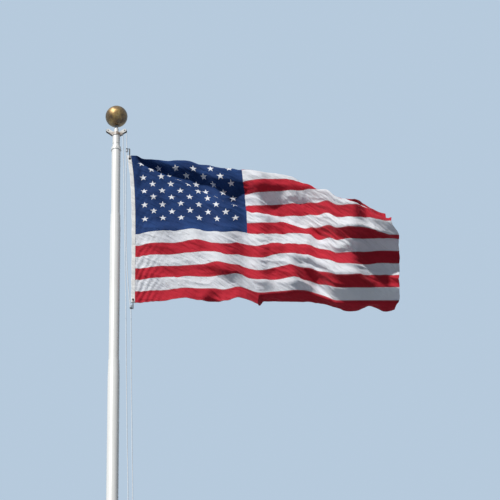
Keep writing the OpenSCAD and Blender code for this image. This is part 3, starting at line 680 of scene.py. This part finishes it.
def puckers(u, s, x, y):
    """Short folds beside the heading, more of them lower down."""
    share = (1 - ease(u / PUCKER_END)) * ease(u / 0.012) * (0.3 + 0.7 * ease((s - 7) / 3))
    return PUCKER_HIGH * share * np.sin(x / 9.5 + y / 19 + 3.4 * value_noise(x / 90, y / 60))


def add_wrinkles(place):
    """Small creases: diagonal ones, ripples, puckers by the heading, and a fluttering edge."""
    n = table_normals(place)
    u = np.linspace(0, 1, TABLE_U)[:, None] * np.ones((1, TABLE_S))
    s = np.linspace(0, STRIPES, TABLE_S)[None, :] * np.ones((TABLE_U, 1))
    x, y = u * FLY, s * STRIPE
    masks = crease_masks(u, s, x, y)
    rise = ripples(u, s, x, y) - CREASE_MIDDLE
    for high, mask, *form in CREASES:
        rise += high * masks[mask] * creases(x, y, *form)
    rise *= ease(u / 0.03)
    rise += puckers(u, s, x, y)
    for high, long, start in FLUTTER:
        rise += high * ease((u - FLUTTER_START) / (1 - FLUTTER_START)) * np.sin(y / long + start)
    return place + n * rise[..., None]


cloth = add_wrinkles(cloth_table())
cloth_n = table_normals(cloth)


def on_cloth(u, s):
    """Places and normals of the cloth's middle at places along the fly and depths."""
    def look(table):
        a = np.clip(np.asarray(u, float) * (TABLE_U - 1), 0, TABLE_U - 1 - 1e-9)
        b = np.clip(np.asarray(s, float) / STRIPES * (TABLE_S - 1), 0, TABLE_S - 1 - 1e-9)
        i, j = a.astype(int), b.astype(int)
        p, q = (a - i)[..., None], (b - j)[..., None]
        return ((table[i, j] * (1 - p) + table[i + 1, j] * p) * (1 - q)
                + (table[i, j + 1] * (1 - p) + table[i + 1, j + 1] * p) * q)
    n = look(cloth_n)
    return look(cloth), n / np.linalg.norm(n, axis=-1, keepdims=True)


# A cloth's half thickness, how far a seam fades out, and the pieces' grid, in millimetres
CLOTH_HALF, SEAM_FADE, GRID_SIZE, CANTON_GRID = 0.45, 2.0, 6.0, 7.0
# Seams and hems: half width and added half thickness
FELL_SEAM, CANTON_SEAM, EDGE_HEM, FLY_HEM = (5.0, 0.25), (5.0, 0.3), (9, 0.5), (20.0, 0.7)


def steps(low, high, size, edges=(2.0, 7.0, 9.5)):
    """Places from low to high in millimetres, closer together at the ends for the seams."""
    first = [low] + [low + e for e in edges]
    last = [high - e for e in reversed(edges)] + [high]
    count = max(2, int(round((last[0] - first[-1]) / size)))
    middle = np.linspace(first[-1], last[0], count + 1)[1:-1]
    return np.array(first + middle.tolist() + last)


def closed_sheet(name, front, back, flat):
    """A closed sheet from two grids of places in millimetres, and its flat places in metres."""
    a, b = front.shape[:2]
    m = a * b
    index = np.arange(m).reshape(a, b)
    quads = np.stack([index[:-1, :-1], index[:-1, 1:], index[1:, 1:], index[1:, :-1]], -1)
    quads = quads.reshape(-1, 4)
    ring = np.concatenate([index[:, 0], index[-1, 1:], index[-2::-1, -1], index[0, -2:0:-1]])
    after = np.roll(ring, -1)
    rim = np.stack([ring, after, after + m, ring + m], -1)
    faces = np.concatenate([quads, quads[:, ::-1] + m, rim]).tolist()
    obj = mesh_object(name, np.concatenate([front.reshape(-1, 3), back.reshape(-1, 3)]), faces)
    flat = flat.reshape(-1, 2)
    give_uv(obj, np.concatenate([flat, flat]))
    return obj


def cloth_piece(name, x_places, y_places, seams_x, seams_y, material):
    """A closed piece of cloth between places along the fly and depths, in millimetres."""
    X, Y = np.meshgrid(x_places, y_places, indexing="ij")
    p, n = on_cloth(X / FLY, Y / STRIPE)
    thick = np.full(X.shape, CLOTH_HALF)
    for places, grid in ((seams_x, X), (seams_y, Y)):
        for place, (wide, more) in places:
            thick += more * (1 - ease((np.abs(grid - place) - wide) / SEAM_FADE))
    shift = n * thick[..., None]
    obj = closed_sheet(name, p + shift, p - shift, np.stack([X, HOIST - Y], -1) / 1000)
    obj.data.materials.append(material)
    return obj


def give_uv(obj, flat):
    layer = obj.data.uv_layers.new(name="cloth")
    corners = np.zeros(len(obj.data.loops), np.int32)
    obj.data.loops.foreach_get("vertex_index", corners)
    layer.data.foreach_set("uv", np.asarray(flat, np.float32)[corners].ravel())


CANTON_MM, CANTON_DOWN = CANTON_U * FLY, CANTON_ROWS * STRIPE
fly_steps = steps(CANTON_MM, FLY, GRID_SIZE)
canton_steps = steps(0, CANTON_MM, GRID_SIZE)
row_seams = [(k * STRIPE, FELL_SEAM) for k in range(1, STRIPES)] \
    + [(0, EDGE_HEM), (HOIST, EDGE_HEM)]
for k in range(1, STRIPES + 1):
    rows = steps((k - 1) * STRIPE, k * STRIPE, GRID_SIZE)
    short = k <= CANTON_ROWS
    columns = fly_steps if short else np.concatenate([canton_steps[:-1], fly_steps])
    slot = "red_cloth" if k % 2 else "white_cloth"
    piece = cloth_piece("cloth_stripe_%02d" % k, columns, rows,
                        [(CANTON_MM, CANTON_SEAM), (FLY, FLY_HEM)], row_seams, MATERIALS[slot])
    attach(piece, "truck")
    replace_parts(piece, "flag_stripe_%02d" % k)
canton_rows = np.concatenate([steps((k - 1) * STRIPE, k * STRIPE, CANTON_GRID)[:-1]
                              for k in range(1, CANTON_ROWS + 1)] + [np.array([CANTON_DOWN])])
canton = cloth_piece("cloth_canton", canton_steps, canton_rows, [(CANTON_MM, CANTON_SEAM)],
                     [(0, EDGE_HEM), (CANTON_DOWN, FELL_SEAM)], MATERIALS["blue_cloth"])
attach(canton, "truck")
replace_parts(canton, "flag_canton")


# Fifty sewn stars, each following the cloth, raised on both of its sides. Radius, the share of it
# at the inner corners, the rings' shares and lifts, and the stars' first place and spacing
STAR_R, STAR_INNER = 33.0, 0.40
STAR_RINGS = ((0.34, 1.5), (0.67, 1.5), (0.93, 1.45), (1.0, 0.7))
STAR_LINES, STAR_COLUMNS, STAR_LIFT = 9, 11, 1.5
STAR_U, STAR_U_STEP, STAR_DOWN, STAR_DOWN_STEP = 0.0345, 0.0325, 82, 73


def star_outline(radius, parts=4):
    tips = []
    for k in range(10):
        r = radius if k % 2 == 0 else radius * STAR_INNER
        a = math.radians(90 + 36 * k)
        tips.append((r * math.cos(a), r * math.sin(a)))
    out = []
    for k in range(10):
        (x0, y0), (x1, y1) = tips[k], tips[(k + 1) % 10]
        for j in range(parts):
            t = j / parts
            out.append((x0 + (x1 - x0) * t, y0 + (y1 - y0) * t))
    return np.array(out)


def star_side(cx, cy, outline, side, start):
    """One side of a star: its places, its flat places, and its faces from a first vertex on."""
    count = len(outline)
    places = [(cx, cy)] + [(cx + x * q, cy - y * q) for q, _ in STAR_RINGS for x, y in outline]
    lift = [STAR_LIFT] + [high for _, high in STAR_RINGS for _ in range(count)]
    X, Y = np.array(places).T
    p, n = on_cloth(X / FLY, Y / STRIPE)
    faces = []
    for j in range(count):
        k = (j + 1) % count
        faces.append([start, start + 1 + j, start + 1 + k])
        for ring in range(len(STAR_RINGS) - 1):
            a = start + 1 + ring * count
            faces.append([a + j, a + count + j, a + count + k, a + k])
    if side < 0:
        faces = [f[::-1] for f in faces]
    return (p + side * n * np.array(lift)[:, None]).tolist(), \
        np.stack([X, HOIST - Y], -1).tolist(), faces


def make_stars():
    outline = star_outline(STAR_R)
    count = len(outline)
    size = 1 + len(STAR_RINGS) * count
    verts, faces, flats = [], [], []
    for r in range(STAR_LINES):
        for c in range(STAR_COLUMNS):
            if (r + c) % 2:
                continue
            cx, cy = (STAR_U + STAR_U_STEP * c) * FLY, STAR_DOWN + STAR_DOWN_STEP * r
            for side in (1, -1):
                v, flat, f = star_side(cx, cy, outline, side, len(verts))
                verts += v
                flats += flat
                faces += f
            behind = len(verts) - count
            front = behind - size
            for j in range(count):
                k = (j + 1) % count
                faces.append([front + j, behind + j, behind + k, front + k])
    obj = mesh_object("sewn_stars", verts, faces)
    give_uv(obj, np.array(flats) / 1000)
    obj.data.materials.append(MATERIALS["star_thread"])
    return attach(obj, "truck")


stars = make_stars()


# Swept and turned shapes
def unit(v):
    return v / np.linalg.norm(v)


def smooth_route(points, size):
    """A smooth curve through the points, and where each point lies on it."""
    pts = np.asarray(points, float)
    ends = np.vstack([2 * pts[0] - pts[1], pts, 2 * pts[-1] - pts[-2]])
    out, marks = [], []
    for i in range(1, len(ends) - 2):
        p0, p1, p2, p3 = ends[i - 1:i + 3]
        d0, d1, d2 = (max(np.linalg.norm(b - a), 1e-6) ** 0.5 for a, b in
                      ((p0, p1), (p1, p2), (p2, p3)))
        m1 = (p2 - p1) + d1 * ((p1 - p0) / d0 - (p2 - p0) / (d0 + d1))
        m2 = (p2 - p1) + d1 * ((p3 - p2) / d2 - (p3 - p1) / (d1 + d2))
        marks.append(len(out))
        count = max(1, int(math.ceil(np.linalg.norm(p2 - p1) / size)))
        for j in range(count):
            t = j / count
            out.append((2 * t**3 - 3 * t**2 + 1) * p1 + (t**3 - 2 * t**2 + t) * m1
                       + (3 * t**2 - 2 * t**3) * p2 + (t**3 - t**2) * m2)
    marks.append(len(out))
    out.append(pts[-1])
    return np.array(out), marks


def route_frames(path):
    t = np.gradient(path, axis=0)
    t /= np.linalg.norm(t, axis=1, keepdims=True)
    start = np.array([0, 1, 0.0]) if abs(t[0][1]) < 0.9 else np.array([1.0, 0, 0])
    n = [unit(start - (start @ t[0]) * t[0])]
    for k in range(1, len(path)):
        v = n[-1] - (n[-1] @ t[k]) * t[k]
        n.append(unit(v))
    n = np.array(n)
    return t, n, np.cross(t, n)


# Rope: points apart, sides, strands, their lay, and how deep the grooves between them are
ROUTE_STEP, ROPE_SIDES, STRANDS, LAY, GROOVE, GROOVE_FORM = 7.0, 12, 3, 36.0, 0.14, 0.7


def tube(path, radius, sides=ROPE_SIDES, strands=0, frames=None, start=0.0):
    """Vertices and faces of a tube. With strands, they twist round it once in each lay."""
    path = np.asarray(path, float)
    t, n, b = route_frames(path) if frames is None else frames
    radius = np.broadcast_to(np.asarray(radius, float), (len(path),))
    length = start + np.concatenate([[0], np.cumsum(np.linalg.norm(np.diff(path, axis=0), axis=1))])
    a = np.arange(sides) * 2 * math.pi / sides
    r = radius[:, None] * np.ones((1, sides))
    if strands:
        phase = strands * (a[None, :] - 2 * math.pi * length[:, None] / LAY)
        r = r * (1 - GROOVE + GROOVE * np.abs(np.cos(phase / 2)) ** GROOVE_FORM)
    v = path[:, None] + r[..., None] * (np.cos(a)[None, :, None] * n[:, None]
                                        + np.sin(a)[None, :, None] * b[:, None])
    m = len(path)
    faces = [[i * sides + k, i * sides + (k + 1) % sides, (i + 1) * sides + (k + 1) % sides,
              (i + 1) * sides + k] for i in range(m - 1) for k in range(sides)]
    faces += [list(range(sides))[::-1], [(m - 1) * sides + k for k in range(sides)]]
    return v.reshape(-1, 3), faces


def lathe(profile, origin, axis="z", sides=32):
    """Turned shape along z or y: profile is (radius, height) from low to high."""
    a = np.arange(sides) * 2 * math.pi / sides
    verts, faces = [], []
    for r, h in profile:
        for k in range(sides):
            x, y = r * math.cos(a[k]), r * math.sin(a[k])
            verts.append((x, y, h) if axis == "z" else (x, -h, y))
    for i in range(len(profile) - 1):
        for k in range(sides):
            c = (k + 1) % sides
            faces.append([i * sides + k, i * sides + c, (i + 1) * sides + c, (i + 1) * sides + k])
    faces.append(list(range(sides))[::-1])
    faces.append([(len(profile) - 1) * sides + k for k in range(sides)])
    return np.array(verts) + np.array(origin, float), faces


def together(name, parts, smooth=True):
    verts, faces, start = [], [], 0
    for v, f in parts:
        verts.append(v)
        faces += [[i + start for i in face] for face in f]
        start += len(v)
    return mesh_object(name, np.concatenate(verts), faces, smooth)


# The halyard, on the same route as in the part's source. Above the cut it rides on the truck, and
# the stretches between the cleat and the cut belong to no body
SNAP_TOP = np.array([CORNER_X - 35, 0, CORNER_Z + 70])
SNAP_LOW = np.array([CORNER_X + LEAN - 34, 0, CORNER_Z - DROP - 60])
ROPE_CUT, BEND_FROM = CAP - 1744, 1650
HORN_X, CLEAT_H = 105.5, 1450
SHEAVE_X, SHEAVE_Z = 70.0, CAP + 205
ROPE_TURN = 16.9
# Turns on the cleat: first and last angle, and how far the rope stands off behind the horns
BELAY_FROM, BELAY_TO, TURN_STEP, BELAY_BACK = 135, 765.1, 22.5, 17
# Points of a fall before and after the cut
POINTS_ABOVE_CUT, POINTS_BELOW_CUT = 6, 9


def belay_point(a):
    """A point of the figure of eight on the cleat, wider with each turn."""
    turn, front = (a - BELAY_FROM) / 360, 16 + 9 * (a - 180) / 180
    side, reach = 18 + 9 * turn, 58 + 10 * turn
    c = math.cos(math.radians(2 * a))
    return (HORN_X + (front if c > 0 else BELAY_BACK) * c,
            side * math.sin(math.radians(2 * a)),
            CLEAT_H + reach * math.sin(math.radians(a)))


return_points = [(56, 0, CAP + 156), (60, 0, CAP + 6), (66, 0, CAP - 194), (74, 0, CAP - 644),
                 (86, 0, CAP - 1144), (95, 0, CAP - 1544), (98, 0, ROPE_CUT), (107, 0, 6800),
                 (118, 0, 6200), (130, 0, 5600), (138, 0, 4700), (136, -2, 3800), (130, -6, 2900),
                 (120, -10, 2100), (110, -15, 1650)]
down_points = [(110, 15, 1650), (126, 10, 2100), (146, 6, 2900), (160, 2, 3800), (170, 0, 4700),
               (168, 0, 5600), (158, 0, 6200), (148, 0, 6800), (141, 0, ROPE_CUT), tuple(SNAP_LOW)]
bow_points = [tuple(SNAP_TOP), (88, 0, CAP - 94), (86, 0, CAP - 294), (88, 0, CAP - 644),
              (96, 0, CAP - 1044), (110, 0, CAP - 1344), (126, 0, CAP - 1544), tuple(SNAP_LOW)]
sheave_points = [(SHEAVE_X + ROPE_TURN * math.cos(a), 0, SHEAVE_Z + ROPE_TURN * math.sin(a))
                 for a in np.radians(np.arange(0, 181, TURN_STEP))]
belay_points = [belay_point(a) for a in np.arange(BELAY_FROM, BELAY_TO, TURN_STEP)]
halyard = [tuple(SNAP_TOP), (88, 0, CAP + 86)] + sheave_points + return_points + belay_points \
    + down_points
first_return = 2 + len(sheave_points)
first_belay = first_return + len(return_points)
last_belay = first_belay + len(belay_points) - 1
cuts = [0, first_return + POINTS_ABOVE_CUT, first_belay, last_belay,
        last_belay + POINTS_BELOW_CUT, len(halyard) - 1]
route, marks = smooth_route(halyard, ROUTE_STEP)
t, n, b = route_frames(route)
run = np.concatenate([[0], np.cumsum(np.linalg.norm(np.diff(route, axis=0), axis=1))])
stretches = (("top", "truck"), ("return", None), ("belay", "pole"), ("downhaul", None),
             ("tail", "truck"))
for k, (name, body) in enumerate(stretches):
    lo, hi = marks[cuts[k]], marks[cuts[k + 1]] + 1
    rope = together("rope_" + name, [tube(route[lo:hi], ROPE_R, strands=STRANDS, start=run[lo],
                                          frames=(t[lo:hi], n[lo:hi], b[lo:hi]))])
    finish_piece(rope, MATERIALS["rope"], body)
    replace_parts(rope, "halyard_" + name)
    if body is None:
        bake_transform(rope)
bow_route, _ = smooth_route(bow_points, ROUTE_STEP)
rope = together("rope_bow", [tube(bow_route, ROPE_R, strands=STRANDS)])
finish_piece(rope, MATERIALS["rope"], "truck")
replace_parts(rope, "halyard_bow")

# A knot's turns, its rope's radius, the radius of the turns, their first place and their pitch
KNOT_TURNS, KNOT_ROPE, KNOT_R, KNOT_FIRST, KNOT_PITCH = 3, 3.7, 7.4, 9, 7.6


def knot(name, at, direction):
    """A hitch: close turns round the rope beside the snap's eye."""
    a = np.linspace(0, KNOT_TURNS * 2 * math.pi, 90)
    climb = KNOT_FIRST + KNOT_PITCH * a / (2 * math.pi)
    path = np.stack([KNOT_R * np.cos(a), KNOT_R * np.sin(a), direction * climb], -1) + np.array(at)
    obj = together(name, [tube(path, KNOT_ROPE, 10, STRANDS)])
    return finish_piece(obj, MATERIALS["rope"], "truck")


knot("knot_top", SNAP_TOP, -1)
knot("knot_bottom", SNAP_LOW, 1)


# Snap hooks: an eye round the rope, an arm, a turned barrel and a hook with its gate.
# Half height and half width of the hook, its angles, and the radii of its wire
HOOK_H, HOOK_W, HOOK_FROM, HOOK_TO = 21.0, 15.0, -62, 242
HOOK_WIRE, HOOK_SWELL, GATE_WIRE, GATE_BOW = 2.5, 0.7, 1.9, 1.2
ARM_WIRE = (3.2, 2.8, 2.6, 2.6, 2.8, 3.2, 3.6)
EYE_WIRE, EYE_ROOM = 2.3, 2.4


def snap(name, eye, hole, way, node):
    mid = np.array(hole) + np.array([0, 0, way * (HOOK_H - 1)])
    a = np.linspace(math.radians(HOOK_FROM), math.radians(HOOK_TO), 49)
    hook = np.stack([0 * a, HOOK_W * np.cos(a), HOOK_H * np.sin(a)], -1)
    hook[:, 2] *= -way
    hook += mid
    thick = HOOK_WIRE + HOOK_SWELL * np.cos((a - math.pi / 2) / 1.6)
    gate = np.linspace(hook[-1], hook[0], 9)
    gate[:, 1] += way * GATE_BOW * np.sin(np.linspace(0, math.pi, 9))
    parts = [tube(hook, thick, 14), tube(gate, GATE_WIRE, 12)]
    low = min(eye[2], mid[2] + way * HOOK_H)
    high = max(eye[2], mid[2] + way * HOOK_H)
    x = hole[0]
    profile = [(1.5, low - 2), (3.6, low - 1.4), (4.4, low), (4.6, low + 5), (3.4, low + 7),
               (3.4, low + 9), (4.6, low + 11), (4.6, high - 8), (3.5, high - 6), (4.3, high - 4),
               (4.4, high), (3.4, high + 1.6), (1.5, high + 2)]
    parts.append(lathe(profile, (x, 0, 0), "z", 24))
    arm = np.linspace([eye[0] + ROPE_R + 1, 0, eye[2]], [x, 0, eye[2]], 7)
    parts.append(tube(arm, np.array(ARM_WIRE), 14))
    c = np.linspace(0, 2 * math.pi, 33)
    loop = (ROPE_R + EYE_ROOM) * np.stack([np.cos(c), np.sin(c), 0 * c], -1) + eye
    parts.append(tube(loop, EYE_WIRE, 12))
    obj = together(name, parts)
    finish_piece(obj, MATERIALS["bronze"], "truck")
    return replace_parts(obj, node)


GROMMET_IN, HOLE_R, HOLE_HALF = 34.0, 5.0, 20


def grommet_at(low):
    down = DROP - GROMMET_IN if low else GROMMET_IN
    return np.array([CORNER_X - HEADING_W / 2 + lean(down / STRIPE), 0, CORNER_Z - down])


snap("snap_hook_top", SNAP_TOP, grommet_at(False), 1, "snap_top")
snap("snap_hook_bottom", SNAP_LOW, grommet_at(True), -1, "snap_bottom")


# Canvas heading, folded over the hoist edge, with its holes. Its grid, its sway out of its plane
# and at its edge, its half thickness, and the added fold and seams
HEADING_ROWS, HEADING_COLUMNS, HEADING_END = 150, 10, 0.05
HEADING_SWAY, HEADING_FINE_SWAY, HEADING_EDGE = 1.6, 1.1, 1.3
HEADING_HALF, HEADING_ROUND, HEADING_SEAM, SEAM_SIDES = 0.7, 0.9, 0.25, (0.14, 0.86)


def make_heading():
    W, D = np.meshgrid(np.linspace(0, 1, HEADING_COLUMNS + 1), np.linspace(0, 1, HEADING_ROWS + 1),
                       indexing="ij")
    calm_ends = ease(D / HEADING_END) * ease((1 - D) / HEADING_END)
    sway = HEADING_SWAY * np.sin(D * 41) * (0.3 + 0.7 * np.abs(W - 0.5)) \
        + HEADING_FINE_SWAY * np.sin(D * 93 + 1)
    sway *= calm_ends
    edge = HEADING_EDGE * np.sin(D * 57) * (1 - W) * calm_ends
    x = CORNER_X - HEADING_W + HEADING_W * W + lean(D * STRIPES) + edge + 0.8 * W
    z = CORNER_Z - DROP * D
    half = HEADING_HALF + HEADING_ROUND * (1 - ease((np.abs(W - 0.5) - 0.38) / 0.12)) \
        + sum(HEADING_SEAM * bell((W - side) / 0.05) for side in SEAM_SIDES)
    flat = np.stack([W * HEADING_W, (1 - D) * HOIST], -1) / 1000
    obj = closed_sheet("canvas_heading", np.stack([x, sway - half, z], -1),
                       np.stack([x, sway + half, z], -1), flat)
    for low in (False, True):
        hole = [(HOLE_R, -HOLE_HALF), (HOLE_R, HOLE_HALF)]
        cutter = together("cutter", [lathe(hole, grommet_at(low), "y", 32)])
        cut = obj.modifiers.new("hole", "BOOLEAN")
        cut.operation = "DIFFERENCE"
        cut.solver = "EXACT"
        cut.object = cutter
        bpy.context.view_layer.objects.active = obj
        with bpy.context.temp_override(object=obj, active_object=obj):
            bpy.ops.object.modifier_apply(modifier=cut.name)
        bpy.data.objects.remove(cutter)
    finish_piece(obj, MATERIALS["canvas"], "truck")
    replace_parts(obj, "flag_heading")


make_heading()

# Floor: a pale disc whose top lies just under the base
FLOOR_R, FLOOR_TOP, FLOOR_THICK, FLOOR_SIDES = 3200, -0.5, 30.0, 96


def make_floor():
    count = FLOOR_SIDES
    a = np.arange(count) * 2 * math.pi / count
    rim = np.stack([FLOOR_R * np.cos(a), FLOOR_R * np.sin(a), 0 * a + FLOOR_TOP], -1)
    low = rim - np.array([0, 0, FLOOR_THICK])
    faces = [list(range(count)), list(range(count, 2 * count))[::-1]]
    faces += [[k, k + count, (k + 1) % count + count, (k + 1) % count] for k in range(count)]
    obj = mesh_object("floor", np.concatenate([rim, low]), faces, False)
    g = Graph("floor")
    place = g.coords()
    colour = g.ramp(g.noise(place, 3, 3), (0.3, (0.70, 0.71, 0.72)), (0.7, (0.74, 0.75, 0.76)))
    obj.data.materials.append(g.set(Base_Color=colour, Roughness=0.9))


make_floor()
